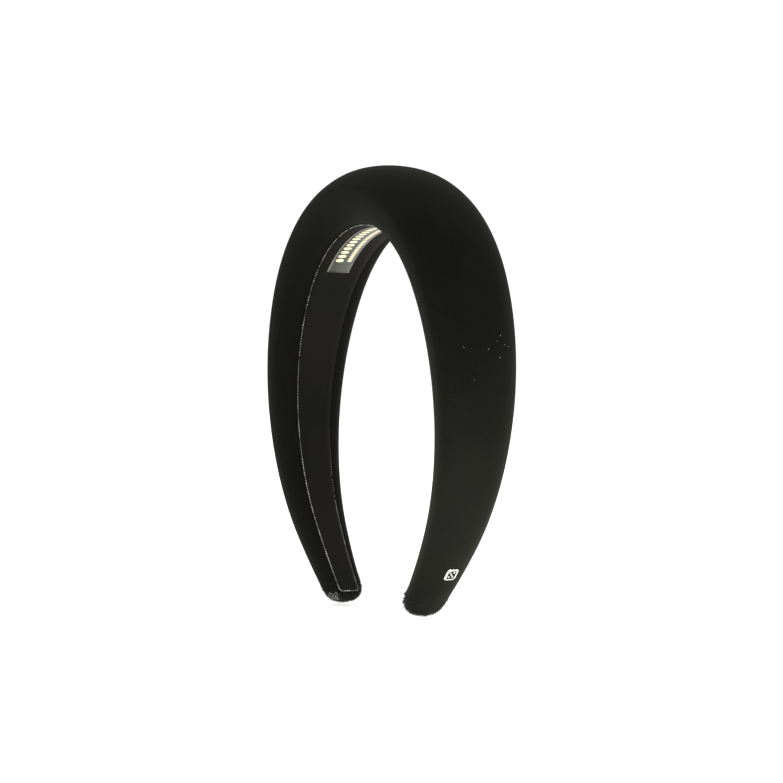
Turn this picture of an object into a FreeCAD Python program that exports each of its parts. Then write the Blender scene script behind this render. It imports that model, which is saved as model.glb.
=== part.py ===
import FreeCAD, Part
import math
import os

# Padded headband. Millimetres. X runs ear to ear, Y front to back, +Z up.
# The origin is the middle of the crown, on the face of the lining that rests on the head.

# Seat line: the curve of the lining's head side. Three tangent arcs run from the crown down each arm.
CROWN_RADIUS = 59.0
CROWN_ARC = 58.0
SIDE_RADIUS = 80.0
SIDE_ARC = 65.5
TAIL_RADIUS = 220.0
SEAT_HALF_LENGTH = 186.0

# Padded body. A taper goes from the crown size to the tip size: the hold power is how long the crown
# size lasts, the fall power is how gently it reaches the tip.
CROWN_WIDTH = 40.0
TIP_WIDTH = 16.0
WIDTH_HOLD_POWER = 2.1
WIDTH_FALL_POWER = 1.5
CROWN_THICKNESS = 23.0
TIP_THICKNESS = 8.5
THICKNESS_HOLD_POWER = 2.2
THICKNESS_FALL_POWER = 1.0
WIDEST_SHARE = 0.57

# Tip: its outline seen from outside rounds over the long length, its side view over the short one.
TIP_PLAN_LENGTH = 9.0
TIP_PLAN_POWER = 2.7
TIP_NOSE_LENGTH = 3.0
TIP_NOSE_POWER = 2.0

# Layers, from the head outwards: lining, turned-in hems of the cover, core band, foam, cover.
LINING_THICKNESS = 0.8
HEM_THICKNESS = 0.6
CORE_THICKNESS = 2.0
COVER_THICKNESS = 1.0

# Lining ribbon, and what follows its width.
LINING_CROWN_WIDTH = 21.0
LINING_TIP_WIDTH = 8.0
LINING_HOLD_POWER = 1.6
LINING_FALL_POWER = 1.4
LINING_END_SETBACK = 1.0
LINING_MARGIN = 1.2
HEM_TURN_IN = 3.0
CORE_EDGE_SETBACK = 0.5
CORE_END_CLEARANCE = 0.5
CORE_END_LENGTH = 4.0
CORE_END_POWER = 2.0

# Woven label, stuck on the lining across the crown, a little forward of its middle.
LABEL_LENGTH = 86.8
LABEL_WIDTH = 9.4
LABEL_THICKNESS = 0.35
LABEL_OFFSET = -1.0

# Badge on the outside of the right arm: a rim round a field of enamel, held by two prongs that pass
# through the cover and fold over a washer inside it.
BADGE_STATION = 160.7
BADGE_OFFSET = 1.0
BADGE_WIDTH = 4.8
BADGE_HEIGHT = 5.6
BADGE_CORNER = 1.3
BADGE_RIM = 0.75
BADGE_THICKNESS = 0.8
BADGE_BEVEL = 0.2
BADGE_BED = 0.3
ENAMEL_THICKNESS = 0.35
ENAMEL_SUNK = 0.1
PRONG_WIDTH = 0.9
PRONG_THICKNESS = 0.3
PRONG_SPACING = 2.4
PRONG_FOOT = 1.0
PRONG_CLEARANCE = 0.1
WASHER_WIDTH = 3.4
WASHER_HEIGHT = 4.8
WASHER_CORNER = 0.8
WASHER_THICKNESS = 0.3
WASHER_CLEARANCE = 0.4

# Sections along each arm, round each tip and along half the label, and sides in a quarter of a section.
# What shows runs smoothly from section to section, and what the cover hides runs straight.
OUTER_SECTION_COUNT = 10
INNER_SECTION_COUNT = 20
TIP_SECTION_COUNT = 3
LABEL_SECTION_COUNT = 5
SIDE_COUNT = 4
LAST_TIP_ANGLE = 80
CUT_MARGIN = 0.5

HEM_BASE = LINING_THICKNESS
CORE_BASE = HEM_BASE + HEM_THICKNESS
CORE_TOP = CORE_BASE + CORE_THICKNESS
NOSE_HEIGHT = (CORE_BASE + CORE_TOP) / 2
PLAN_START = SEAT_HALF_LENGTH - TIP_PLAN_LENGTH
CORE_END = SEAT_HALF_LENGTH - TIP_NOSE_LENGTH - CORE_END_CLEARANCE
LINING_END = SEAT_HALF_LENGTH - LINING_END_SETBACK
BADGE_BACK = -BADGE_BED
BADGE_FACE = BADGE_BACK + BADGE_THICKNESS
ENAMEL_TOP = BADGE_FACE - ENAMEL_SUNK
ENAMEL_BASE = ENAMEL_TOP - ENAMEL_THICKNESS
WASHER_TOP = -COVER_THICKNESS - WASHER_CLEARANCE
WASHER_BASE = WASHER_TOP - WASHER_THICKNESS
PRONG_BASE = WASHER_BASE - PRONG_THICKNESS


def seat_frame(s):
    """Point on the seat line at arc length s from the crown, and the direction away from the head."""
    left = abs(s)
    angle = 0.0
    x = 0.0
    z = 0.0
    arcs = (
        (CROWN_RADIUS, math.radians(CROWN_ARC)),
        (SIDE_RADIUS, math.radians(SIDE_ARC)),
        (TAIL_RADIUS, math.pi),
    )
    for radius, arc in arcs:
        turn = min(left / radius, arc)
        x += radius * (math.sin(angle + turn) - math.sin(angle))
        z += radius * (math.cos(angle + turn) - math.cos(angle))
        angle += turn
        left -= turn * radius
    side = math.copysign(1, s)
    point = FreeCAD.Vector(side * x, 0, z)
    outward = FreeCAD.Vector(side * math.sin(angle), 0, math.cos(angle))
    return point, outward


def place(s, u, v):
    """Point at arc length s, u towards the back and v away from the head."""
    point, outward = seat_frame(s)
    return point + outward * v + FreeCAD.Vector(0, u, 0)


def taper(crown, tip, hold, fall, s):
    reach = min(abs(s) / SEAT_HALF_LENGTH, 1)
    return tip + (crown - tip) * (1 - reach ** hold) ** fall


def rounding(s, end, length, power):
    """Share of the full size that a rounded end leaves at s: 1 before it starts, 0 at the end."""
    reach = min(max((abs(s) - end + length) / length, 0), 1)
    return (1 - reach ** power) ** (1 / power)


def even_stations(half_length, count):
    return [half_length * i / count for i in range(-count, count + 1)]


def tip_stations(end, last_angle, arm_count):
    """Arc lengths spread evenly along the arms, and closing up towards both ends like a quarter circle."""
    tip = []
    for i in range(1, TIP_SECTION_COUNT + 1):
        reach = math.sin(math.radians(last_angle) * i / TIP_SECTION_COUNT)
        tip.append(PLAN_START + (end - PLAN_START) * reach)
    return [-s for s in reversed(tip)] + even_stations(PLAN_START, arm_count) + tip


def lining_half_width(s):
    return taper(LINING_CROWN_WIDTH, LINING_TIP_WIDTH, LINING_HOLD_POWER, LINING_FALL_POWER, s) / 2


def pad_section(s, skin, base):
    """Half sizes of the padded section at s, with its outside drawn in by skin and its flat side at base.

    Gives the flat side's half width, the widest half width, and the heights of the flat side,
    of the widest line and of the top.
    """
    end = SEAT_HALF_LENGTH - skin
    plan = rounding(s, end, TIP_PLAN_LENGTH - skin, TIP_PLAN_POWER)
    nose = rounding(s, end, TIP_NOSE_LENGTH - skin, TIP_NOSE_POWER)
    thickness = taper(CROWN_THICKNESS, TIP_THICKNESS, THICKNESS_HOLD_POWER, THICKNESS_FALL_POWER, s)
    half_width = taper(CROWN_WIDTH, TIP_WIDTH, WIDTH_HOLD_POWER, WIDTH_FALL_POWER, s) / 2 - skin
    flat_half_width = lining_half_width(s) + LINING_MARGIN
    heights = (base, WIDEST_SHARE * thickness, thickness - skin)
    low, middle, top = (NOSE_HEIGHT + (height - NOSE_HEIGHT) * nose for height in heights)
    return flat_half_width * plan, half_width * plan, low, middle, top


def pad_wire(s, skin, base):
    """Closed section: a half-ellipse dome, a quarter-ellipse roll on each side and a flat side."""
    flat_half, half, low, middle, top = pad_section(s, skin, base)
    points = []
    for i in range(-SIDE_COUNT, 3 * SIDE_COUNT + 1):
        across = math.cos(math.pi / 2 * i / SIDE_COUNT)
        up = math.sin(math.pi / 2 * i / SIDE_COUNT)
        if 0 <= i <= 2 * SIDE_COUNT:
            points.append(place(s, half * across, middle + (top - middle) * up))
        else:
            side = 1 if i < 0 else -1
            roll = flat_half + (half - flat_half) * abs(across)
            points.append(place(s, side * roll, middle + (middle - low) * up))
    return Part.makePolygon(points + points[:1])


def pad_body(skin, base, arm_count, straight):
    """The padded form from tip to tip, with its outside drawn in by skin and its flat side at base."""
    stations = tip_stations(SEAT_HALF_LENGTH - skin, LAST_TIP_ANGLE, arm_count)
    return Part.makeLoft([pad_wire(s, skin, base) for s in stations], True, straight)


def strip(stations, low, high, edges, straight):
    """Bent strip between two heights. edges(s) gives its front and back sides at s."""
    wires = []
    for s in stations:
        front, back = edges(s)
        corners = [place(s, front, low), place(s, back, low), place(s, back, high), place(s, front, high)]
        wires.append(Part.makePolygon(corners + corners[:1]))
    return Part.makeLoft(wires, True, straight)


def core_edges(s):
    half = lining_half_width(s) - CORE_EDGE_SETBACK
    half *= rounding(s, CORE_END, CORE_END_LENGTH, CORE_END_POWER)
    return -half, half


def core_strip(low):
    """The springy band from a given height to its outer face, with rounded ends."""
    stations = tip_stations(CORE_END, LAST_TIP_ANGLE, INNER_SECTION_COUNT)
    return strip(stations, low, CORE_TOP, core_edges, True)


def hem_gap():
    """What stays open between the two hems of the cover, under the lining."""

    def edges(s):
        half = lining_half_width(s) - HEM_TURN_IN
        return -half, half

    stations = even_stations(PLAN_START, OUTER_SECTION_COUNT)
    return strip(stations, HEM_BASE - CUT_MARGIN, CORE_BASE + CUT_MARGIN, edges, False)


def lining_ribbon():
    def edges(s):
        half = min(lining_half_width(s), pad_section(s, 0, HEM_BASE)[0])
        return -half, half

    return strip(tip_stations(LINING_END, 90, OUTER_SECTION_COUNT), 0, LINING_THICKNESS, edges, False)


def woven_label():
    def edges(s):
        return LABEL_OFFSET - LABEL_WIDTH / 2, LABEL_OFFSET + LABEL_WIDTH / 2

    return strip(even_stations(LABEL_LENGTH / 2, LABEL_SECTION_COUNT), -LABEL_THICKNESS, 0, edges, False)


def cover_point(s, u):
    """Point on the dome of the cover's outside."""
    flat_half, half, low, middle, top = pad_section(s, 0, HEM_BASE)
    return place(s, u, middle + (top - middle) * math.sqrt(1 - (u / half) ** 2))


def on_cover(shape):
    """A shape drawn face up at the origin, laid on the cover at the badge's place with +Y up the arm."""
    step = BADGE_WIDTH / 2
    across = cover_point(BADGE_STATION, BADGE_OFFSET + step) - cover_point(BADGE_STATION, BADGE_OFFSET - step)
    up = cover_point(BADGE_STATION - step, BADGE_OFFSET) - cover_point(BADGE_STATION + step, BADGE_OFFSET)
    turn = FreeCAD.Rotation(across, up, across.cross(up), "ZXY")
    placed = shape.copy()
    placed.Placement = FreeCAD.Placement(cover_point(BADGE_STATION, BADGE_OFFSET), turn)
    return placed


def rounded_plate(width, height, corner, low, high):
    plate = Part.makeBox(width, height, high - low, FreeCAD.Vector(-width / 2, -height / 2, low))
    upright = [edge for edge in plate.Edges if abs(edge.tangentAt(edge.FirstParameter).z) > 0.9]
    return plate.makeFillet(corner, upright)


def enamel_plate(low, high):
    width = BADGE_WIDTH - 2 * BADGE_RIM
    height = BADGE_HEIGHT - 2 * BADGE_RIM
    return rounded_plate(width, height, BADGE_CORNER - BADGE_RIM, low, high)


def prong_legs(clearance):
    """The straight parts of both prongs, from the badge's back to the washer's far side."""
    legs = []
    for side in (-1, 1):
        width = PRONG_WIDTH + 2 * clearance
        depth = PRONG_THICKNESS + 2 * clearance
        corner = FreeCAD.Vector(-width / 2, side * PRONG_SPACING / 2 - depth / 2, PRONG_BASE)
        legs.append(Part.makeBox(width, depth, BADGE_BACK - PRONG_BASE, corner))
    return legs[0].fuse(legs[1])


def prong_feet():
    """The folded ends of both prongs, flat against the washer and pointing apart."""
    feet = []
    for side in (-1, 1):
        near = PRONG_SPACING / 2
        low = min(side * near, side * (near + PRONG_FOOT))
        corner = FreeCAD.Vector(-PRONG_WIDTH / 2, low, PRONG_BASE)
        feet.append(Part.makeBox(PRONG_WIDTH, PRONG_FOOT, PRONG_THICKNESS, corner))
    return feet[0].fuse(feet[1])


def badge_frame():
    plate = rounded_plate(BADGE_WIDTH, BADGE_HEIGHT, BADGE_CORNER, BADGE_BACK, BADGE_FACE)
    face_edges = [edge for edge in plate.Edges if edge.BoundBox.ZMin > BADGE_FACE - CUT_MARGIN]
    plate = plate.makeChamfer(BADGE_BEVEL, face_edges)
    plate = plate.cut(enamel_plate(ENAMEL_BASE, BADGE_FACE))
    return plate.fuse([prong_legs(0), prong_feet()]).removeSplitter()


def badge_washer():
    plate = rounded_plate(WASHER_WIDTH, WASHER_HEIGHT, WASHER_CORNER, WASHER_BASE, WASHER_TOP)
    return plate.cut(prong_legs(PRONG_CLEARANCE))


def badge_bed():
    """What the badge and its prongs take out of the cover."""
    bed = rounded_plate(BADGE_WIDTH, BADGE_HEIGHT, BADGE_CORNER, BADGE_BACK, BADGE_FACE)
    return bed.fuse(prong_legs(PRONG_CLEARANCE))


def washer_pocket():
    """What the washer and the folded prongs take out of the foam."""
    return rounded_plate(WASHER_WIDTH, WASHER_HEIGHT, WASHER_CORNER, PRONG_BASE, 0)


def hollow(body, cavity):
    """A body with a cavity that lies wholly inside it."""
    inner_shell = cavity.Shells[0].copy()
    inner_shell.reverse()
    return Part.makeSolid(Part.Compound([body.Shells[0], inner_shell]))


def save(shape, node):
    shape.exportStep("parts/" + node + ".step")


os.makedirs("parts", exist_ok=True)
cavity = pad_body(COVER_THICKNESS, CORE_BASE, INNER_SECTION_COUNT, True)
foam_pad = cavity.cut([core_strip(CORE_BASE - CUT_MARGIN), on_cover(washer_pocket())])
cover_form = hollow(pad_body(0, HEM_BASE, OUTER_SECTION_COUNT, False), cavity)
velvet_cover = cover_form.cut([hem_gap(), on_cover(badge_bed())])

save(core_strip(CORE_BASE), "core_band")
save(foam_pad, "foam_pad")
save(velvet_cover, "velvet_cover")
save(lining_ribbon(), "lining_ribbon")
save(woven_label(), "woven_label")
save(on_cover(badge_frame()), "badge_frame")
save(on_cover(enamel_plate(ENAMEL_BASE, ENAMEL_TOP)), "badge_enamel")
save(on_cover(badge_washer()), "badge_washer")
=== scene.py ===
import math

import bmesh
import bpy
from mathutils import Matrix, Vector


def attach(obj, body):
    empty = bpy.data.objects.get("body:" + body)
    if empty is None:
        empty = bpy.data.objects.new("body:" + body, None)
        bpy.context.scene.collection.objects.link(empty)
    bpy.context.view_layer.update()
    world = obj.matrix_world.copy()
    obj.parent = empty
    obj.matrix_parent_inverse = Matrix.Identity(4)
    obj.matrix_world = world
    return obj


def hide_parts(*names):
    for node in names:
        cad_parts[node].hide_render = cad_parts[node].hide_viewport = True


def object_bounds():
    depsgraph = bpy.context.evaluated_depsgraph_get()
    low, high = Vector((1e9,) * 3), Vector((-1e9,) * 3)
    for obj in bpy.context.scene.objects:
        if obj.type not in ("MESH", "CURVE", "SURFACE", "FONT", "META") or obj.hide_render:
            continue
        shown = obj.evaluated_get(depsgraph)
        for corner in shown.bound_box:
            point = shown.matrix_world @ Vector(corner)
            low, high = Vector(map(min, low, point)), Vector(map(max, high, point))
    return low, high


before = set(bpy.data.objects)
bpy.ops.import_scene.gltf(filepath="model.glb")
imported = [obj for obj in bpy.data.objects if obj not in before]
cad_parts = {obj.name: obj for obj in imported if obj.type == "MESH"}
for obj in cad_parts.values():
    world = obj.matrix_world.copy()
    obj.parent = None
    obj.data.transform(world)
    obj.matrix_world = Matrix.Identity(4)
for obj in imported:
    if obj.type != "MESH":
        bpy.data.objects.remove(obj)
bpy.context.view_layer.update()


# ---- Core band: the springy strip -------------------------------------------------------------------
# A 2 mm strip of moulded polypropylene, bent into the arch. It carries everything else, and the seat
# line that its lining rests on gives every later piece its place.
MM = 0.001
CROWN_RADIUS = 59.0
CROWN_ARC = 58.0
SIDE_RADIUS = 80.0
SIDE_ARC = 65.5
TAIL_RADIUS = 220.0
SEAT_HALF_LENGTH = 186.0


def seat_frame(s):
    """Point on the seat line at arc length s from the crown, and the direction away from the head.
    Lengths are in mm."""
    left = abs(s)
    angle = 0.0
    x = 0.0
    z = 0.0
    arcs = (
        (CROWN_RADIUS, math.radians(CROWN_ARC)),
        (SIDE_RADIUS, math.radians(SIDE_ARC)),
        (TAIL_RADIUS, math.pi),
    )
    for radius, arc in arcs:
        turn = min(left / radius, arc)
        x += radius * (math.sin(angle + turn) - math.sin(angle))
        z += radius * (math.cos(angle + turn) - math.cos(angle))
        angle += turn
        left -= turn * radius
    side = math.copysign(1, s)
    return Vector((side * x, 0, z)), Vector((side * math.sin(angle), 0, math.cos(angle)))


def place(s, u, v):
    """Point in metres at arc length s, u towards the back and v away from the head."""
    point, outward = seat_frame(s)
    return (point + outward * v + Vector((0, u, 0))) * MM


def linear(hex_colour):
    """An sRGB hex colour as linear RGBA."""
    shares = [int(hex_colour[i:i + 2], 16) / 255 for i in (1, 3, 5)]
    return [c / 12.92 if c <= 0.04045 else ((c + 0.055) / 1.055) ** 2.4 for c in shares] + [1.0]


def add_node(tree, kind, inputs=(), **settings):
    """One node with its settings. An input is a value or another node's output."""
    node = tree.nodes.new(kind)
    for name, value in settings.items():
        setattr(node, name, value)
    for name, value in dict(inputs).items():
        if isinstance(value, bpy.types.NodeSocket):
            tree.links.new(value, node.inputs[name])
        else:
            node.inputs[name].default_value = value
    return node


def new_material(name):
    """An empty node material with its tree and output node."""
    material = bpy.data.materials.new(name)
    material.use_nodes = True
    material.node_tree.nodes.clear()
    return material, material.node_tree, add_node(material.node_tree, "ShaderNodeOutputMaterial")


def dress(node, material):
    """Gives a CAD node its material."""
    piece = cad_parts[node]
    piece.data.materials.clear()
    piece.data.materials.append(material)


# Moulded polypropylene: matt from the mould's spark-eroded face, with a faint mottle.
MOULD_GRAIN = 0.4
MOULD_MOTTLE = 11.1

moulded_polypropylene, tree, output = new_material("moulded_polypropylene")
coords = add_node(tree, "ShaderNodeTexCoord")
grain = add_node(tree, "ShaderNodeTexNoise", {
    "Vector": coords.outputs["Object"], "Scale": 1 / (MOULD_GRAIN * MM), "Detail": 3})
mottle = add_node(tree, "ShaderNodeTexNoise", {
    "Vector": coords.outputs["Object"], "Scale": 1 / (MOULD_MOTTLE * MM), "Detail": 2})
tint = add_node(tree, "ShaderNodeMix", {
    "Factor": mottle.outputs["Fac"], "A": linear("#141414"), "B": linear("#1e1e1f")}, data_type="RGBA")
bump = add_node(tree, "ShaderNodeBump", {
    "Height": grain.outputs["Fac"], "Strength": 0.25, "Distance": 0.02 * MM})
shader = add_node(tree, "ShaderNodeBsdfPrincipled", {
    "Base Color": tint.outputs["Result"], "Roughness": 0.55, "IOR": 1.49,
    "Normal": bump.outputs["Normal"]})
tree.links.new(shader.outputs["BSDF"], output.inputs["Surface"])
dress("core_band", moulded_polypropylene)


# ---- Foam pad: the crescent of padding --------------------------------------------------------------
# Cut polyurethane foam glued over the core, full at the crown and thin at the tips. The cover hides it.
FOAM_CELL = 0.6

open_cell_foam, tree, output = new_material("open_cell_foam")
coords = add_node(tree, "ShaderNodeTexCoord")
cells = add_node(tree, "ShaderNodeTexVoronoi", {
    "Vector": coords.outputs["Object"], "Scale": 1 / (FOAM_CELL * MM)})
tint = add_node(tree, "ShaderNodeMix", {
    "Factor": cells.outputs["Distance"], "A": linear("#b9ae93"), "B": linear("#e6dfcb")}, data_type="RGBA")
bump = add_node(tree, "ShaderNodeBump", {
    "Height": cells.outputs["Distance"], "Strength": 0.6, "Distance": 0.2 * MM})
shader = add_node(tree, "ShaderNodeBsdfPrincipled", {
    "Base Color": tint.outputs["Result"], "Roughness": 0.95, "IOR": 1.5,
    "Normal": bump.outputs["Normal"]})
tree.links.new(shader.outputs["BSDF"], output.inputs["Surface"])
dress("foam_pad", open_cell_foam)


# ---- Velvet cover -----------------------------------------------------------------------------------
# One piece of black cotton velvet pulled over the foam, turned in along both inner edges and gathered
# shut round the tips. The turned-in hems are glued down and lie under the lining.
CROWN_WIDTH = 40.0
TIP_WIDTH = 16.0
WIDTH_HOLD_POWER = 2.1
WIDTH_FALL_POWER = 1.5
CROWN_THICKNESS = 23.0
TIP_THICKNESS = 8.5
THICKNESS_HOLD_POWER = 2.2
THICKNESS_FALL_POWER = 1.0
WIDEST_SHARE = 0.57
TIP_PLAN_LENGTH = 9.0
TIP_PLAN_POWER = 2.7
TIP_NOSE_LENGTH = 3.0
TIP_NOSE_POWER = 2.0
NOSE_HEIGHT = 2.4
LINING_THICKNESS = 0.8
LINING_CROWN_WIDTH = 21.0
LINING_TIP_WIDTH = 8.0
LINING_HOLD_POWER = 1.6
LINING_FALL_POWER = 1.4
LINING_MARGIN = 1.2
HEM_TURN_IN = 3.0
HEM_CLOSE_START = 168.0
HEM_CLOSE_END = 178.0
COVER_WALL = 0.7
COVER_SWELL = 0.5
GATHER_START = 170.0
BADGE_STATION = 160.7
BADGE_OFFSET = 1.0
PRONG_HOLD_NEAR = 4.5
PRONG_HOLD_FAR = 12.0
PLEAT_COUNT = 11
PLEAT_DEPTH = 0.3
PLEAT_PHASE = 3
PLEAT_CLOSING_POWER = 6
SMALLEST_REACH = 0.1
ARM_ROWS = 72
TIP_ROWS = 14
HEM_COLUMNS = 3
ROLL_COLUMNS = 6
DOME_COLUMNS = 24
COVER_WELD = 0.02
SIM_FRAMES = 20


def taper(crown, tip, hold_power, fall_power, s):
    """A size that holds near the crown and falls towards the tip."""
    reach = min(abs(s) / SEAT_HALF_LENGTH, 1)
    return tip + (crown - tip) * (1 - reach ** hold_power) ** fall_power


def share(value, start, end):
    """How far a value is from start to end, from 0 to 1."""
    return min(max((value - start) / (end - start), 0), 1)


def rounding(s, length, power):
    """Share of the full size that a rounded tip leaves at s."""
    return (1 - share(abs(s), SEAT_HALF_LENGTH - length, SEAT_HALF_LENGTH) ** power) ** (1 / power)


def lining_half_width(s):
    return taper(LINING_CROWN_WIDTH, LINING_TIP_WIDTH, LINING_HOLD_POWER, LINING_FALL_POWER, s) / 2


def pad_section(s):
    """Half widths of the flat side and of the widest line, then heights of the flat side, of the widest
    line and of the top."""
    plan = rounding(s, TIP_PLAN_LENGTH, TIP_PLAN_POWER)
    nose = rounding(s, TIP_NOSE_LENGTH, TIP_NOSE_POWER)
    thickness = taper(CROWN_THICKNESS, TIP_THICKNESS, THICKNESS_HOLD_POWER, THICKNESS_FALL_POWER, s)
    half_width = taper(CROWN_WIDTH, TIP_WIDTH, WIDTH_HOLD_POWER, WIDTH_FALL_POWER, s) / 2
    flat_half_width = lining_half_width(s) + LINING_MARGIN
    heights = (LINING_THICKNESS, WIDEST_SHARE * thickness, thickness)
    low, middle, top = (NOSE_HEIGHT + (height - NOSE_HEIGHT) * nose for height in heights)
    return flat_half_width * plan, half_width * plan, low, middle, top


def cover_row(s):
    """Across the cover from one raw hem edge, round the dome, to the other: points, and how firmly each
    is held, from 0 to 1."""
    flat_half, half, low, middle, top = pad_section(s)
    # Half the space between the raw edges, which meet under the tips.
    hem_start = min(lining_half_width(s) - HEM_TURN_IN, flat_half)
    gap = hem_start * (1 - share(abs(s), HEM_CLOSE_START, HEM_CLOSE_END))
    gather = share(abs(s), GATHER_START, SEAT_HALF_LENGTH)
    half_row = []
    for i in range(HEM_COLUMNS):
        half_row.append((gap + (flat_half - gap) * i / HEM_COLUMNS, low, 1))
    for i in range(ROLL_COLUMNS):
        turn = math.pi / 2 * i / ROLL_COLUMNS
        across = flat_half + (half - flat_half) * math.sin(turn)
        half_row.append((across, middle - (middle - low) * math.cos(turn), 1 if i == 0 else 0))
    for i in range(DOME_COLUMNS // 2):
        turn = math.pi * i / DOME_COLUMNS
        half_row.append((half * math.cos(turn), middle + (top - middle) * math.sin(turn), 0))
    row = [(-u, v, held) for u, v, held in half_row] + [(0, top, 0)] + half_row[::-1]
    points = []
    for i, (u, v, held) in enumerate(row):
        around = math.pi * share(i, HEM_COLUMNS, len(row) - 1 - HEM_COLUMNS)
        wave = math.sin(PLEAT_COUNT * around + PLEAT_PHASE * math.copysign(1, s))
        pleat = PLEAT_DEPTH * gather * (1 - gather ** PLEAT_CLOSING_POWER) * wave
        reach = max(math.hypot(u, v - middle), SMALLEST_REACH)
        swell = 1 + pleat * math.sqrt(math.sin(around)) / reach
        from_badge = math.hypot(s - BADGE_STATION, u - BADGE_OFFSET)
        pinched = 1 - share(from_badge, PRONG_HOLD_NEAR, PRONG_HOLD_FAR)
        points.append((place(s, u * swell, middle + (v - middle) * swell), max(held, gather, pinched)))
    return points


def row_lengths(end):
    """Arc lengths of a piece's rows: even along the arms, closing up over the tips to its end."""
    plan_start = SEAT_HALF_LENGTH - TIP_PLAN_LENGTH
    even = [plan_start * i / ARM_ROWS for i in range(-ARM_ROWS, ARM_ROWS + 1)]
    closing = [math.sin(math.pi / 2 * i / TIP_ROWS) for i in range(1, TIP_ROWS + 1)]
    tip = [plan_start + (end - plan_start) * part for part in closing]
    return [-s for s in reversed(tip)] + even + tip


def skin_mesh(name, rows, weld):
    """A mesh through rows of (point, value), its points welded where they meet and its faces turned out."""
    width = len(rows[0])
    faces = []
    for i in range(len(rows) - 1):
        for j in range(width - 1):
            corner = i * width + j
            faces.append((corner, corner + 1, corner + width + 1, corner + width))
    mesh = bpy.data.meshes.new(name)
    mesh.from_pydata([point for row in rows for point, value in row], [], faces)
    values = mesh.attributes.new("value", "FLOAT", "POINT")
    values.data.foreach_set("value", [value for row in rows for point, value in row])
    work = bmesh.new()
    work.from_mesh(mesh)
    bmesh.ops.remove_doubles(work, verts=work.verts, dist=weld)
    bmesh.ops.dissolve_degenerate(work, edges=work.edges, dist=weld)
    bmesh.ops.recalc_face_normals(work, faces=work.faces)
    work.to_mesh(mesh)
    work.free()
    mesh.shade_smooth()
    return mesh


def new_piece(name, mesh, material, slot=None):
    """A mesh put in the scene with its finish. Given a slot, it is a finished piece of the headband."""
    piece = bpy.data.objects.new(name, mesh)
    bpy.context.scene.collection.objects.link(piece)
    piece.data.materials.clear()
    piece.data.materials.append(material)
    if slot:
        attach(piece, "root")
    return piece


def plain_mesh(piece):
    """What a piece's modifiers make of it, as a mesh of its own."""
    graph = bpy.context.evaluated_depsgraph_get()
    return bpy.data.meshes.new_from_object(piece.evaluated_get(graph))


# Cotton velvet: a short upright cut pile. It swallows light face on and shows a grey bloom edge on.
# Its sheen weight grows from the crown to the tips: a painted highlight for the brighter light that falls on
# the lower arms.
PILE_TUFT = 0.45
PILE_SWEEP = 16.0
# Heights in mm and sheen weights of that painted highlight, strongest low on the arms.
STRONG_SHEEN_HEIGHT = -130.0
WEAK_SHEEN_HEIGHT = 15.0
STRONG_SHEEN = 0.1
WEAK_SHEEN = 0.035

cotton_velvet, tree, output = new_material("cotton_velvet")
coords = add_node(tree, "ShaderNodeTexCoord")
tufts = add_node(tree, "ShaderNodeTexNoise", {
    "Vector": coords.outputs["Object"], "Scale": 1 / (PILE_TUFT * MM), "Detail": 3, "Roughness": 0.7})
sweep = add_node(tree, "ShaderNodeTexNoise", {
    "Vector": coords.outputs["Object"], "Scale": 1 / (PILE_SWEEP * MM), "Detail": 4, "Roughness": 0.55})
lay = add_node(tree, "ShaderNodeMapRange", {
    "Value": sweep.outputs["Fac"], "From Min": 0.35, "From Max": 0.65})
brushed = add_node(tree, "ShaderNodeMix", {
    "Factor": lay.outputs["Result"], "A": linear("#0c0c0a"), "B": linear("#0e0e0b")}, data_type="RGBA")
speckle = add_node(tree, "ShaderNodeMapRange", {
    "Value": tufts.outputs["Fac"], "From Min": 0.3, "From Max": 0.7, "To Min": 0.7, "To Max": 1.35})
tint = add_node(tree, "ShaderNodeMix", {
    "Factor": 1.0, "A": brushed.outputs["Result"], "B": speckle.outputs["Result"]},
    data_type="RGBA", blend_type="MULTIPLY")
bump = add_node(tree, "ShaderNodeBump", {
    "Height": tufts.outputs["Fac"], "Strength": 0.5, "Distance": 0.15 * MM})
along_arm = add_node(tree, "ShaderNodeSeparateXYZ", {"Vector": coords.outputs["Object"]})
# Painted highlight: the sheen weight rises from the crown down to the tips, standing in for the light on the
# lower arms.
painted_sheen_by_height = add_node(tree, "ShaderNodeMapRange", {
    "Value": along_arm.outputs["Z"], "From Min": STRONG_SHEEN_HEIGHT * MM, "From Max": WEAK_SHEEN_HEIGHT * MM,
    "To Min": STRONG_SHEEN, "To Max": WEAK_SHEEN})
shader = add_node(tree, "ShaderNodeBsdfPrincipled", {
    "Base Color": tint.outputs["Result"], "Roughness": 0.9, "IOR": 1.4, "Specular IOR Level": 0.05,
    "Sheen Weight": painted_sheen_by_height.outputs["Result"], "Sheen Roughness": 0.45, "Sheen Tint": linear("#c4c4ae"),
    "Normal": bump.outputs["Normal"]})
tree.links.new(shader.outputs["BSDF"], output.inputs["Surface"])

cover_rows = [cover_row(s) for s in row_lengths(SEAT_HALF_LENGTH)]
cover_mesh = skin_mesh("velvet_cover_skin", cover_rows, COVER_WELD * MM)
velvet_cover = new_piece("velvet_cover_skin", cover_mesh, cotton_velvet)

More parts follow.
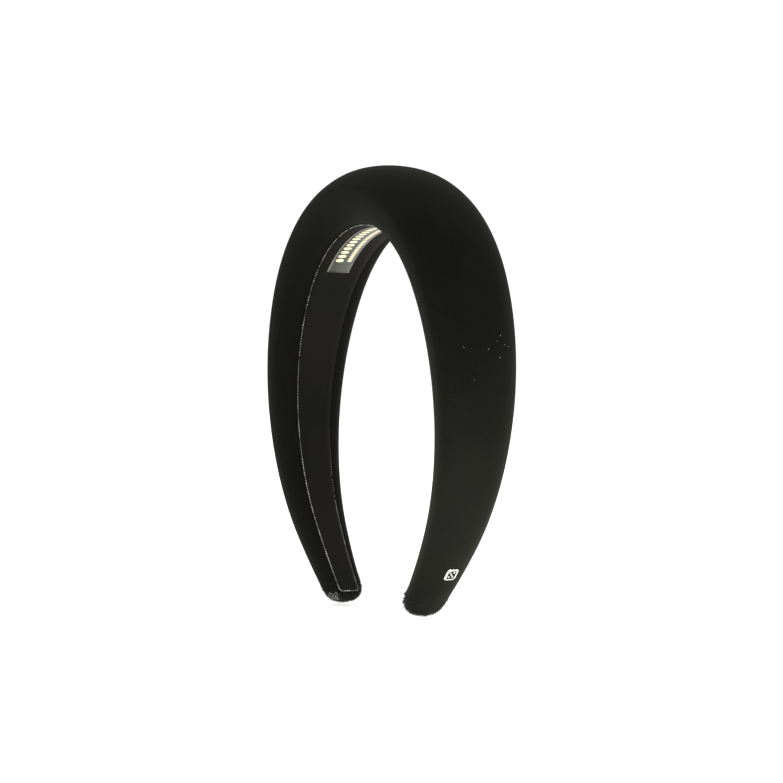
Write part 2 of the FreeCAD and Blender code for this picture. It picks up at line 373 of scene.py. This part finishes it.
# The foam presses the cloth outwards, while the glued hems, the gathered tips and the badge's
# prongs hold it.
glued = velvet_cover.vertex_groups.new(name="glued")
for vertex, held in zip(cover_mesh.vertices, cover_mesh.attributes["value"].data):
    glued.add([vertex.index], held.value, "REPLACE")
cloth = velvet_cover.modifiers.new("cloth", "CLOTH")
cloth.settings.vertex_group_mass = "glued"
cloth.settings.mass = 0.005
cloth.settings.tension_stiffness = 5
cloth.settings.compression_stiffness = 5
cloth.settings.bending_stiffness = 0.1
cloth.settings.use_pressure = True
cloth.settings.uniform_pressure_force = 1000
cloth.settings.effector_weights.gravity = 0
for frame_number in range(1, SIM_FRAMES + 1):
    bpy.context.scene.frame_set(frame_number)
swollen = plain_mesh(velvet_cover)
swells = []
for before, after in zip(cover_mesh.vertices, swollen.vertices):
    swells.append((after.co - before.co).dot(before.normal))
for vertex, swell in zip(cover_mesh.vertices, swells):
    vertex.co += vertex.normal * min(max(swell, 0), COVER_SWELL * MM)
velvet_cover.modifiers.clear()

smooth = velvet_cover.modifiers.new("smooth", "SUBSURF")
smooth.levels = 1
smooth.render_levels = 1
wall = velvet_cover.modifiers.new("wall", "SOLIDIFY")
wall.thickness = COVER_WALL * MM
wall.offset = -1
cover_mesh = plain_mesh(velvet_cover)
velvet_cover.modifiers.clear()
velvet_cover.data = cover_mesh
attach(velvet_cover, "root")
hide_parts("velvet_cover")


# ---- Loose pile and lint ----------------------------------------------------------------------------
# Where the velvet is cut and gathered at the tips its pile stands ragged. Pale fibres on the left tip are a
# painted highlight, the sheen of light on its fold, and a few pale flecks sit on the right tip.
# A few specks of lint cling to the right arm.
FIBRE_DRIFT = 1.2

scatter = bpy.data.node_groups.new("scattered_fibres", "GeometryNodeTree")
for name, kind in (
        ("Geometry", "Geometry"), ("Centre", "Vector"), ("Radius", "Float"), ("Density", "Float"),
        ("Shortest", "Float"), ("Longest", "Float"), ("Thickness", "Float"), ("Lean", "Float"),
        ("Seed", "Int"), ("Material", "Material")):
    scatter.interface.new_socket(name, in_out="INPUT", socket_type="NodeSocket" + kind)
scatter.interface.new_socket("Geometry", in_out="OUTPUT", socket_type="NodeSocketGeometry")
given = add_node(scatter, "NodeGroupInput").outputs
position = add_node(scatter, "GeometryNodeInputPosition")
distance = add_node(scatter, "ShaderNodeVectorMath", {
    0: position.outputs["Position"], 1: given["Centre"]}, operation="DISTANCE")
density = add_node(scatter, "ShaderNodeMapRange", {
    "Value": distance.outputs["Value"], "From Min": 0.0, "From Max": given["Radius"],
    "To Min": given["Density"], "To Max": 0.0})
roots = add_node(scatter, "GeometryNodeDistributePointsOnFaces", {
    "Mesh": given["Geometry"], "Density": density.outputs["Result"], "Seed": given["Seed"]})
most = add_node(scatter, "ShaderNodeCombineXYZ", {
    "X": given["Lean"], "Y": given["Lean"], "Z": given["Lean"]})
least = add_node(scatter, "ShaderNodeVectorMath", {
    0: most.outputs["Vector"], "Scale": -1.0}, operation="SCALE")
lean = add_node(scatter, "FunctionNodeRandomValue", {
    "Min": least.outputs["Vector"], "Max": most.outputs["Vector"], "Seed": given["Seed"]},
    data_type="FLOAT_VECTOR")
leaning = add_node(scatter, "FunctionNodeEulerToRotation", {"Euler": lean.outputs["Value"]})
turned = add_node(scatter, "FunctionNodeRotateRotation", {
    "Rotation": roots.outputs["Rotation"], "Rotate By": leaning.outputs["Rotation"]}, rotation_space="LOCAL")
length = add_node(scatter, "FunctionNodeRandomValue", {
    "Min": given["Shortest"], "Max": given["Longest"], "Seed": given["Seed"]}, data_type="FLOAT")
size = add_node(scatter, "ShaderNodeCombineXYZ", {
    "X": given["Thickness"], "Y": given["Thickness"], "Z": length.outputs["Value"]})
# A cone one unit long and wide, which each point scales to its fibre's size.
fibre = add_node(scatter, "GeometryNodeMeshCone", {
    "Vertices": 4, "Radius Top": 0.0, "Radius Bottom": 0.5, "Depth": 1.0}, fill_type="NGON")
planted = add_node(scatter, "GeometryNodeInstanceOnPoints", {
    "Points": roots.outputs["Points"], "Instance": fibre.outputs["Mesh"],
    "Rotation": turned.outputs["Rotation"], "Scale": size.outputs["Vector"]})
realised = add_node(scatter, "GeometryNodeRealizeInstances", {"Geometry": planted.outputs["Instances"]})
finished = add_node(scatter, "GeometryNodeSetMaterial", {
    "Geometry": realised.outputs["Geometry"], "Material": given["Material"]})
add_node(scatter, "NodeGroupOutput", {"Geometry": finished.outputs["Geometry"]})


def grown_piece(name, tree, base, material, slot, values):
    """A piece that a node tree grows on a base mesh."""
    holder = bpy.data.objects.new(name + "_base", base)
    bpy.context.scene.collection.objects.link(holder)
    modifier = holder.modifiers.new("grow", "NODES")
    modifier.node_group = tree
    values["Material"] = material
    for socket in tree.interface.items_tree:
        if socket.in_out == "INPUT" and socket.name in values:
            modifier[socket.identifier] = values[socket.name]
    mesh = plain_mesh(holder)
    bpy.data.objects.remove(holder)
    mesh.name = name
    return new_piece(name, mesh, material, slot)


def fibre_material(name, root_colour, tip_colour):
    """A loose cotton fibre, its colour drifting along the velvet over a few tufts."""
    material, tree, output = new_material(name)
    coords = add_node(tree, "ShaderNodeTexCoord")
    drift = add_node(tree, "ShaderNodeTexNoise", {
        "Vector": coords.outputs["Object"], "Scale": 1 / (FIBRE_DRIFT * MM)})
    tint = add_node(tree, "ShaderNodeMix", {
        "Factor": drift.outputs["Fac"], "A": linear(root_colour), "B": linear(tip_colour)}, data_type="RGBA")
    shader = add_node(tree, "ShaderNodeBsdfPrincipled", {
        "Base Color": tint.outputs["Result"], "Roughness": 0.85, "IOR": 1.5, "Specular IOR Level": 0.2})
    tree.links.new(shader.outputs["BSDF"], output.inputs["Surface"])
    return material


velvet_fibre = fibre_material("black_cotton_fibre", "#0b0b09", "#2e2e29")
# Pale fibres: on the left tip they are a painted highlight for the sheen of light on the fold.
pale_fibre = fibre_material("pale_cotton_fibre", "#55554d", "#bdbcb1")
lint_fibre = fibre_material("grey_lint", "#75756c", "#b4b3a8")

# Each centre is on the cover. Lengths are in mm, density is in fibres to the square mm at the centre,
# and lean is in radians either way.
for name, material, centre, radius, density, shortest, longest, thickness, lean, seed in (
        ("pile_right_tip", velvet_fibre, place(184, 0, 3), 13, 10.0, 0.5, 1.3, 0.13, 0.9, 1),
        ("pile_left_tip", velvet_fibre, place(-184, 0, 3), 13, 10.0, 0.5, 1.2, 0.13, 0.9, 2),
        ("tufts_right_tip", velvet_fibre, place(181, -8, 4), 6, 1.6, 0.9, 2.1, 0.24, 0.7, 9),
        # Painted highlight: pale fibres for the sheen of light on the left tip's fold.
        ("painted_sheen_left_tip", pale_fibre, place(-186, -6, 5), 3.8, 20.0, 0.3, 1.0, 0.15, 0.9, 3),
        ("pale_flecks_right_tip", pale_fibre, place(183, 1, 7), 8, 0.4, 0.3, 0.7, 0.15, 1.2, 4),
        ("lint_right_arm", lint_fibre, place(88, 5, 18), 15, 0.045, 0.3, 0.6, 0.17, 1.5, 5)):
    grown_piece(name, scatter, cover_mesh, material, "velvet", {
        "Centre": centre, "Radius": radius * MM, "Density": density / MM ** 2, "Shortest": shortest * MM,
        "Longest": longest * MM, "Thickness": thickness * MM, "Lean": lean, "Seed": seed})


# ---- Lining ribbon ----------------------------------------------------------------------------------
# A flat velvet ribbon glued along the inner face over the hems. Its edges are bound by pale selvedge
# threads, and so are its cut ends.
LINING_END = 185.0
LINING_COLUMNS = 8
LINING_CROWNING = 0.12
STRIP_WELD = 0.01
SELVEDGE_PITCH = 1.15
SELVEDGE_THREAD = 1.1
SELVEDGE_WIDTH = 0.36
SELVEDGE_RISE_START = 90.0
SELVEDGE_RISE_END = 150.0
SUNK_OUTSET = -0.04
RISEN_OUTSET = 0.08
FRONT_DEPTH = 0.32
BACK_DEPTH = 0.56


def lining_edge(s):
    """Half width of the ribbon, which also rounds in with the tip."""
    return min(lining_half_width(s), pad_section(s)[0])


def lining_row(s):
    """Round the ribbon's section: its head side, softly crowned, then its glued side."""
    half = lining_edge(s)
    row = []
    for i in range(LINING_COLUMNS + 1):
        across = 1 - 2 * i / LINING_COLUMNS
        row.append((half * across, LINING_CROWNING * across ** 4))
    row += [(-u, LINING_THICKNESS) for u, v in row]
    return [(place(s, u, v), u * MM) for u, v in row + row[:1]]


def close_ends(mesh):
    """Fills the open ends of a strip."""
    work = bmesh.new()
    work.from_mesh(mesh)
    bmesh.ops.holes_fill(work, edges=[edge for edge in work.edges if edge.is_boundary])
    bmesh.ops.recalc_face_normals(work, faces=work.faces)
    work.to_mesh(mesh)
    work.free()


# Ribbon velvet: a shorter, flatter pile than the cover's, slightly warmer.
RIBBON_TUFT = 0.4
RIBBON_SWEEP = 30.0

velvet_ribbon, tree, output = new_material("viscose_velvet_ribbon")
coords = add_node(tree, "ShaderNodeTexCoord")
tufts = add_node(tree, "ShaderNodeTexNoise", {
    "Vector": coords.outputs["Object"], "Scale": 1 / (RIBBON_TUFT * MM), "Detail": 2})
sweep = add_node(tree, "ShaderNodeTexNoise", {
    "Vector": coords.outputs["Object"], "Scale": 1 / (RIBBON_SWEEP * MM), "Detail": 3})
lay = add_node(tree, "ShaderNodeMapRange", {
    "Value": sweep.outputs["Fac"], "From Min": 0.4, "From Max": 0.6})
brushed = add_node(tree, "ShaderNodeMix", {
    "Factor": lay.outputs["Result"], "A": linear("#0c0d0a"), "B": linear("#110f0c")}, data_type="RGBA")
speckle = add_node(tree, "ShaderNodeMapRange", {
    "Value": tufts.outputs["Fac"], "From Min": 0.3, "From Max": 0.7, "To Min": 0.8, "To Max": 1.2})
tint = add_node(tree, "ShaderNodeMix", {
    "Factor": 1.0, "A": brushed.outputs["Result"], "B": speckle.outputs["Result"]},
    data_type="RGBA", blend_type="MULTIPLY")
bump = add_node(tree, "ShaderNodeBump", {
    "Height": tufts.outputs["Fac"], "Strength": 0.3, "Distance": 0.1 * MM})
shader = add_node(tree, "ShaderNodeBsdfPrincipled", {
    "Base Color": tint.outputs["Result"], "Roughness": 0.8, "IOR": 1.4, "Specular IOR Level": 0.1,
    "Sheen Weight": 0.035, "Sheen Roughness": 0.6, "Sheen Tint": linear("#c6c2ae"),
    "Normal": bump.outputs["Normal"]})
tree.links.new(shader.outputs["BSDF"], output.inputs["Surface"])

lining_rows = [lining_row(s) for s in row_lengths(LINING_END)]
lining_mesh = skin_mesh("lining_ribbon_strip", lining_rows, STRIP_WELD * MM)
close_ends(lining_mesh)
lining_ribbon = new_piece("lining_ribbon_strip", lining_mesh, velvet_ribbon, "lining")
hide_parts("lining_ribbon")

threads = bpy.data.node_groups.new("threads_along_a_line", "GeometryNodeTree")
for name, kind in (
        ("Geometry", "Geometry"), ("Pitch", "Float"), ("Length", "Float"), ("Width", "Float"),
        ("Height", "Float"), ("Sides", "Int"), ("Rings", "Int"), ("Unevenness", "Float"),
        ("Missing", "Float"), ("Seed", "Int"), ("Material", "Material")):
    threads.interface.new_socket(name, in_out="INPUT", socket_type="NodeSocket" + kind)
threads.interface.new_socket("Geometry", in_out="OUTPUT", socket_type="NodeSocketGeometry")
given = add_node(threads, "NodeGroupInput").outputs
line = add_node(threads, "GeometryNodeMeshToCurve", {"Mesh": given["Geometry"]})
places = add_node(threads, "GeometryNodeCurveToPoints", {
    "Curve": line.outputs["Curve"], "Length": given["Pitch"]}, mode="LENGTH")
along = add_node(threads, "FunctionNodeAlignRotationToVector", {
    "Vector": places.outputs["Tangent"]}, axis="X")
outward = add_node(threads, "GeometryNodeInputNamedAttribute", {
    "Name": "outward"}, data_type="FLOAT_VECTOR")
upright = add_node(threads, "FunctionNodeAlignRotationToVector", {
    "Rotation": along.outputs["Rotation"], "Vector": outward.outputs["Attribute"]}, axis="Z", pivot_axis="X")
short = add_node(threads, "ShaderNodeMath", {0: 1.0, 1: given["Unevenness"]}, operation="SUBTRACT")
stretch = add_node(threads, "FunctionNodeRandomValue", {
    "Min": short.outputs["Value"], "Max": 1.0, "Seed": given["Seed"]}, data_type="FLOAT")
long = add_node(threads, "ShaderNodeMath", {
    0: given["Length"], 1: stretch.outputs["Value"]}, operation="MULTIPLY")
size = add_node(threads, "ShaderNodeCombineXYZ", {
    "X": long.outputs["Value"], "Y": given["Width"], "Z": given["Height"]})
missing = add_node(threads, "FunctionNodeRandomValue", {
    "Probability": given["Missing"], "Seed": given["Seed"]}, data_type="BOOLEAN")
present = add_node(threads, "FunctionNodeBooleanMath", {0: missing.outputs["Value"]}, operation="NOT")
# A ball one unit across, which each point stretches to its thread's size.
float_shape = add_node(threads, "GeometryNodeMeshUVSphere", {
    "Segments": given["Sides"], "Rings": given["Rings"], "Radius": 0.5})
laid = add_node(threads, "GeometryNodeInstanceOnPoints", {
    "Points": places.outputs["Points"], "Selection": present.outputs["Boolean"],
    "Instance": float_shape.outputs["Mesh"], "Rotation": upright.outputs["Rotation"],
    "Scale": size.outputs["Vector"]})
realised = add_node(threads, "GeometryNodeRealizeInstances", {"Geometry": laid.outputs["Instances"]})
finished = add_node(threads, "GeometryNodeSetMaterial", {
    "Geometry": realised.outputs["Geometry"], "Material": given["Material"]})
add_node(threads, "NodeGroupOutput", {"Geometry": finished.outputs["Geometry"]})


def thread_line(name, stations, closed=False):
    """A line through (s, u, v) for threads to lie along. It knows the direction away from the head."""
    edges = [(i, i + 1) for i in range(len(stations) - 1)]
    if closed:
        edges.append((len(stations) - 1, 0))
    mesh = bpy.data.meshes.new(name)
    mesh.from_pydata([place(s, u, v) for s, u, v in stations], edges, [])
    outward = mesh.attributes.new("outward", "FLOAT_VECTOR", "POINT")
    outward.data.foreach_set("vector", [part for s, u, v in stations for part in seat_frame(s)[1]])
    return mesh


# Selvedge thread: undyed viscose filament, pale grey with a slight lustre, each float a little different.
THREAD_WEAR = 3.0

selvedge_thread, tree, output = new_material("undyed_viscose_thread")
coords = add_node(tree, "ShaderNodeTexCoord")
wear = add_node(tree, "ShaderNodeTexNoise", {
    "Vector": coords.outputs["Object"], "Scale": 1 / (THREAD_WEAR * MM), "Detail": 4})
worn = add_node(tree, "ShaderNodeMapRange", {
    "Value": wear.outputs["Fac"], "From Min": 0.35, "From Max": 0.65})
tint = add_node(tree, "ShaderNodeMix", {
    "Factor": worn.outputs["Result"], "A": linear("#605f58"), "B": linear("#dcdbd0")}, data_type="RGBA")
shader = add_node(tree, "ShaderNodeBsdfPrincipled", {
    "Base Color": tint.outputs["Result"], "Roughness": 0.5, "IOR": 1.53})
tree.links.new(shader.outputs["BSDF"], output.inputs["Surface"])

front, back = [], []
for s in row_lengths(LINING_END):
    # Along the arms the selvedge is sunk in the pile; it comes out towards the tips.
    rise = share(abs(s), SELVEDGE_RISE_START, SELVEDGE_RISE_END)
    across = lining_edge(s) + SUNK_OUTSET + (RISEN_OUTSET - SUNK_OUTSET) * rise
    front.append((s, -across, FRONT_DEPTH))
    back.append((s, across, BACK_DEPTH + (FRONT_DEPTH - BACK_DEPTH) * rise))
selvedge_line = thread_line("selvedge_line", front + back[::-1], closed=True)
lining_selvedge = grown_piece("lining_selvedge", threads, selvedge_line, selvedge_thread, "lining", {
    "Pitch": SELVEDGE_PITCH * MM, "Length": SELVEDGE_THREAD * MM, "Width": SELVEDGE_WIDTH * MM,
    "Height": SELVEDGE_WIDTH * MM, "Sides": 6, "Rings": 4, "Unevenness": 0.45, "Missing": 0.04, "Seed": 6})


# ---- Woven label ------------------------------------------------------------------------------------
# A satin-woven ribbon label stuck to the lining across the crown, with its ends folded under. Its field
# is grey-black, with a chain of plain gold medallions and a finer broken stripe woven in.
LABEL_LENGTH = 86.8
LABEL_WIDTH = 9.4
LABEL_THICKNESS = 0.35
LABEL_OFFSET = -1.0
LABEL_FOLD = 5.0
LABEL_FOLD_RISE = 0.1
LABEL_EDGE_BEVEL = 0.12
LABEL_ROWS = 70
BORDER_START = 0.7
BORDER_FULL = 0.4
MOTIF_END = 36.5
MOTIF_HEIGHT = 0.24


def label_row(s):
    """Round the label's section, thicker where its end is folded under."""
    fold = LABEL_FOLD_RISE if abs(s) > LABEL_LENGTH / 2 - LABEL_FOLD else 0
    half = LABEL_WIDTH / 2
    face = -LABEL_THICKNESS - fold
    edge = LABEL_EDGE_BEVEL
    row = ((half, 0), (half, face + edge), (half - edge, face), (0, face), (edge - half, face),
           (-half, face + edge), (-half, 0))
    return [(place(s, LABEL_OFFSET + u, v), u * MM) for u, v in row + row[:1]]


# Woven satin: long floats across the label give a soft gloss in fine lines. Real floats are 0.15 mm
# apart, too fine to show, so they are drawn 0.5 mm apart.
SATIN_PITCH = 0.5

label_satin, tree, output = new_material("woven_satin")
coords = add_node(tree, "ShaderNodeTexCoord")
floats = add_node(tree, "ShaderNodeTexNoise", {
    "Vector": coords.outputs["Object"], "Scale": 1 / (SATIN_PITCH * MM), "Detail": 2})
across = add_node(tree, "ShaderNodeAttribute", attribute_name="value")
side = add_node(tree, "ShaderNodeMath", {0: across.outputs["Fac"]}, operation="ABSOLUTE")
border = add_node(tree, "ShaderNodeMapRange", {
    "Value": side.outputs["Value"], "From Min": (LABEL_WIDTH / 2 - BORDER_START) * MM,
    "From Max": (LABEL_WIDTH / 2 - BORDER_FULL) * MM})
field = add_node(tree, "ShaderNodeMix", {
    "Factor": floats.outputs["Fac"], "A": linear("#20211c"), "B": linear("#3c3d35")}, data_type="RGBA")
tint = add_node(tree, "ShaderNodeMix", {
    "Factor": border.outputs["Result"], "A": field.outputs["Result"], "B": linear("#6b6a5e")},
    data_type="RGBA")
bump = add_node(tree, "ShaderNodeBump", {
    "Height": floats.outputs["Fac"], "Strength": 0.4, "Distance": 0.05 * MM})
shader = add_node(tree, "ShaderNodeBsdfPrincipled", {
    "Base Color": tint.outputs["Result"], "Roughness": 0.42, "IOR": 1.53, "Specular IOR Level": 0.6,
    "Sheen Weight": 0.15, "Sheen Roughness": 0.3, "Normal": bump.outputs["Normal"]})
tree.links.new(shader.outputs["BSDF"], output.inputs["Surface"])

label_lengths = [LABEL_LENGTH * (i / LABEL_ROWS - 0.5) for i in range(LABEL_ROWS + 1)]
label_mesh = skin_mesh("woven_label_cloth", [label_row(s) for s in label_lengths], STRIP_WELD * MM)
close_ends(label_mesh)
woven_label = new_piece("woven_label_cloth", label_mesh, label_satin, "label")
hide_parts("woven_label")

# Gold yarn: metallised film round a cream core, so it is bright and warm from every side.
GOLD_TWIST = 0.4

gold_yarn, tree, output = new_material("gold_metallised_yarn")
coords = add_node(tree, "ShaderNodeTexCoord")
twist = add_node(tree, "ShaderNodeTexNoise", {
    "Vector": coords.outputs["Object"], "Scale": 1 / (GOLD_TWIST * MM)})
tint = add_node(tree, "ShaderNodeMix", {
    "Factor": twist.outputs["Fac"], "A": linear("#dcc98e"), "B": linear("#fffae0")}, data_type="RGBA")
bump = add_node(tree, "ShaderNodeBump", {
    "Height": twist.outputs["Fac"], "Strength": 0.5, "Distance": 0.05 * MM})
shader = add_node(tree, "ShaderNodeBsdfPrincipled", {
    "Base Color": tint.outputs["Result"], "Roughness": 0.4, "Metallic": 0.1,
    "Normal": bump.outputs["Normal"]})
tree.links.new(shader.outputs["BSDF"], output.inputs["Surface"])

motif_lengths = [MOTIF_END * i / LABEL_ROWS for i in range(-LABEL_ROWS, LABEL_ROWS + 1)]
for name, u, pitch, length, width, seed in (
        ("label_medallions", -2.75, 2.7, 2.6, 3.9, 7),
        ("label_stripe", 1.5, 1.35, 1.2, 2.3, 8)):
    motif_line = thread_line(name + "_line", [(s, u, -LABEL_THICKNESS) for s in motif_lengths])
    grown_piece(name, threads, motif_line, gold_yarn, "label", {
        "Pitch": pitch * MM, "Length": length * MM, "Width": width * MM, "Height": MOTIF_HEIGHT * MM,
        "Sides": 6, "Rings": 2, "Unevenness": 0.0, "Missing": 0.0, "Seed": seed})


# ---- Badge ------------------------------------------------------------------------------------------
# A rounded nickel frame round black enamel, low on the outside of the right arm, held by two prongs
# folded over a steel washer inside. Five plain nickel studs sit in the enamel.
BADGE_WIDTH = 4.8
ENAMEL_HEIGHT = 0.4
STUD_RADIUS = 0.38
STUD_RISE = 0.18
STUD_SPACING_ACROSS = 0.8
STUD_SPACING_UP = 1.05
STUD_SEGMENTS = 16
STUD_RINGS = 10


def cover_point(s, u):
    """Point on the dome of the cover, before it swells."""
    _, half, _, middle, top = pad_section(s)
    return place(s, u, middle + (top - middle) * math.sqrt(1 - (u / half) ** 2))


# Polished nickel plate on zinc: bright and slightly warm, with fine rubbing marks.
RUBBING_MARK = 0.3

polished_nickel, tree, output = new_material("polished_nickel_plate")
coords = add_node(tree, "ShaderNodeTexCoord")
rubbing = add_node(tree, "ShaderNodeTexNoise", {
    "Vector": coords.outputs["Object"], "Scale": 1 / (RUBBING_MARK * MM)})
dulling = add_node(tree, "ShaderNodeMapRange", {
    "Value": rubbing.outputs["Fac"], "To Min": 0.08, "To Max": 0.26})
shader = add_node(tree, "ShaderNodeBsdfPrincipled", {
    "Base Color": linear("#f0efe9"), "Metallic": 1.0, "Roughness": dulling.outputs["Result"]})
tree.links.new(shader.outputs["BSDF"], output.inputs["Surface"])
dress("badge_frame", polished_nickel)

# Cold enamel: glossy black with a faint orange peel.
ENAMEL_PEEL = 0.5

black_enamel, tree, output = new_material("black_cold_enamel")
coords = add_node(tree, "ShaderNodeTexCoord")
peel = add_node(tree, "ShaderNodeTexNoise", {
    "Vector": coords.outputs["Object"], "Scale": 1 / (ENAMEL_PEEL * MM)})
bump = add_node(tree, "ShaderNodeBump", {
    "Height": peel.outputs["Fac"], "Strength": 0.1, "Distance": 0.02 * MM})
shader = add_node(tree, "ShaderNodeBsdfPrincipled", {
    "Base Color": linear("#050505"), "Roughness": 0.25, "IOR": 1.45, "Specular IOR Level": 0.08,
    "Normal": bump.outputs["Normal"]})
tree.links.new(shader.outputs["BSDF"], output.inputs["Surface"])
dress("badge_enamel", black_enamel)

# Zinc-plated steel: grey with soft spangle.
ZINC_SPANGLE = 0.6

zinc_plate, tree, output = new_material("zinc_plated_steel")
coords = add_node(tree, "ShaderNodeTexCoord")
spangle = add_node(tree, "ShaderNodeTexVoronoi", {
    "Vector": coords.outputs["Object"], "Scale": 1 / (ZINC_SPANGLE * MM)})
tint = add_node(tree, "ShaderNodeMix", {
    "Factor": spangle.outputs["Distance"], "A": linear("#9a9ea2"), "B": linear("#c3c6c9")},
    data_type="RGBA")
shader = add_node(tree, "ShaderNodeBsdfPrincipled", {
    "Base Color": tint.outputs["Result"], "Metallic": 1.0, "Roughness": 0.38})
tree.links.new(shader.outputs["BSDF"], output.inputs["Surface"])
dress("badge_washer", zinc_plate)

# The middles of the badge's four sides, put on the cover, give the plane that the studs lie in.
half_badge = BADGE_WIDTH / 2
front_side, back_side, lower_side, upper_side = (
    cover_point(BADGE_STATION + along, BADGE_OFFSET + aside)
    for along, aside in ((0, -half_badge), (0, half_badge), (half_badge, 0), (-half_badge, 0)))
across = back_side - front_side
up_arm = upper_side - lower_side
facing = across.cross(up_arm).normalized()
across.normalize()
up_arm = facing.cross(across)
badge_place = Matrix((across, up_arm, facing)).transposed().to_4x4()
badge_place.translation = cover_point(BADGE_STATION, BADGE_OFFSET)
stud_work = bmesh.new()
for column, row in ((-1, -1), (1, -1), (0, 0), (-1, 1), (1, 1)):
    centre = Vector((column * STUD_SPACING_ACROSS, row * STUD_SPACING_UP, ENAMEL_HEIGHT)) * MM
    stud = bmesh.ops.create_uvsphere(
        stud_work, u_segments=STUD_SEGMENTS, v_segments=STUD_RINGS, radius=STUD_RADIUS * MM)
    bmesh.ops.scale(stud_work, vec=(1, 1, STUD_RISE / STUD_RADIUS), verts=stud["verts"])
    bmesh.ops.translate(stud_work, vec=centre, verts=stud["verts"])
stud_work.transform(badge_place)
stud_mesh = bpy.data.meshes.new("badge_studs")
stud_work.to_mesh(stud_mesh)
stud_work.free()
stud_mesh.shade_smooth()
new_piece("badge_studs", stud_mesh, polished_nickel, "badge_metal")


# ---- Stage ------------------------------------------------------------------------------------------
# A pale floor under the tips and even white light from all round. A softbox in front shows the roll of
# the padding, and a low one lifts the outer side of the right arm, as a white table does.
VIEW_AZIMUTH = 63.07
VIEW_ELEVATION = -0.36
VIEW_ROLL = 0.48
VIEW_DISTANCE = 930.3
VIEW_CENTRE_HEIGHT = -70.0
VIEW_SHIFT_RIGHT = 3.05
VIEW_SHIFT_UP = 7.06
LENS = 111.7
SENSOR_WIDTH = 36
FLOOR_HALF_WIDTH = 20.0
FLOOR_GAP = 0.3
FLOOR_GLOW = 0.42
FLOOR_FLECK = 25.0
ROOM_LIGHT = 1.1

floor_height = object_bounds()[0][2] - FLOOR_GAP * MM
floor_corners = [
    (x * FLOOR_HALF_WIDTH, y * FLOOR_HALF_WIDTH, floor_height)
    for x, y in ((-1, -1), (1, -1), (1, 1), (-1, 1))]
floor_mesh = bpy.data.meshes.new("floor")
floor_mesh.from_pydata(floor_corners, [], [(0, 1, 2, 3)])
pale_floor, tree, output = new_material("matt_white_board")
coords = add_node(tree, "ShaderNodeTexCoord")
fleck = add_node(tree, "ShaderNodeTexNoise", {
    "Vector": coords.outputs["Object"], "Scale": 1 / (FLOOR_FLECK * MM)})
tint = add_node(tree, "ShaderNodeMix", {
    "Factor": fleck.outputs["Fac"], "A": linear("#f6f6f5"), "B": linear("#fbfbfa")}, data_type="RGBA")
shader = add_node(tree, "ShaderNodeBsdfPrincipled", {
    "Base Color": tint.outputs["Result"], "Roughness": 0.9, "Specular IOR Level": 0.1,
    "Emission Color": (1, 1, 1, 1), "Emission Strength": FLOOR_GLOW})
tree.links.new(shader.outputs["BSDF"], output.inputs["Surface"])
new_piece("floor", floor_mesh, pale_floor)

world = bpy.data.worlds.new("studio")
world.use_nodes = True
world.node_tree.nodes["Background"].inputs["Color"].default_value = (1, 1, 1, 1)
world.node_tree.nodes["Background"].inputs["Strength"].default_value = ROOM_LIGHT
bpy.context.scene.world = world
bpy.context.scene.view_settings.view_transform = "Standard"

# Places and sizes are in metres, power is in watts.
for name, place_of_light, aim, width, height, power in (
        ("front_softbox", (0.8, -0.45, -0.05), (0, 0, -0.07), 0.5, 0.5, 2.4),
        ("low_softbox", (0.13, -0.03, floor_height + 0.012), (0.055, 0, -0.12), 0.12, 0.05, 0.19)):
    softbox = bpy.data.objects.new(name, bpy.data.lights.new(name, "AREA"))
    bpy.context.scene.collection.objects.link(softbox)
    softbox.data.shape = "RECTANGLE"
    softbox.data.size = width
    softbox.data.size_y = height
    softbox.data.energy = power
    softbox.location = place_of_light
    softbox.rotation_euler = (Vector(aim) - softbox.location).to_track_quat("-Z", "Y").to_euler()
    softbox.visible_camera = False

azimuth = math.radians(VIEW_AZIMUTH)
elevation = math.radians(VIEW_ELEVATION)
roll = math.radians(VIEW_ROLL)
level_away = Vector((math.sin(azimuth), -math.cos(azimuth), 0))
away = level_away * math.cos(elevation) + Vector((0, 0, math.sin(elevation)))
level = Vector((math.cos(azimuth), math.sin(azimuth), 0))
plumb = away.cross(level)
right = level * math.cos(roll) + plumb * math.sin(roll)
up = plumb * math.cos(roll) - level * math.sin(roll)
centre = Vector((0, 0, VIEW_CENTRE_HEIGHT))
viewpoint = centre + right * VIEW_SHIFT_RIGHT + up * VIEW_SHIFT_UP + away * VIEW_DISTANCE
camera = bpy.data.objects.new("camera", bpy.data.cameras.new("camera"))
bpy.context.scene.collection.objects.link(camera)
camera.data.lens = LENS
camera.data.sensor_width = SENSOR_WIDTH
camera.matrix_world = Matrix.Translation(viewpoint * MM) @ Matrix((right, up, away)).transposed().to_4x4()
bpy.context.scene.camera = camera
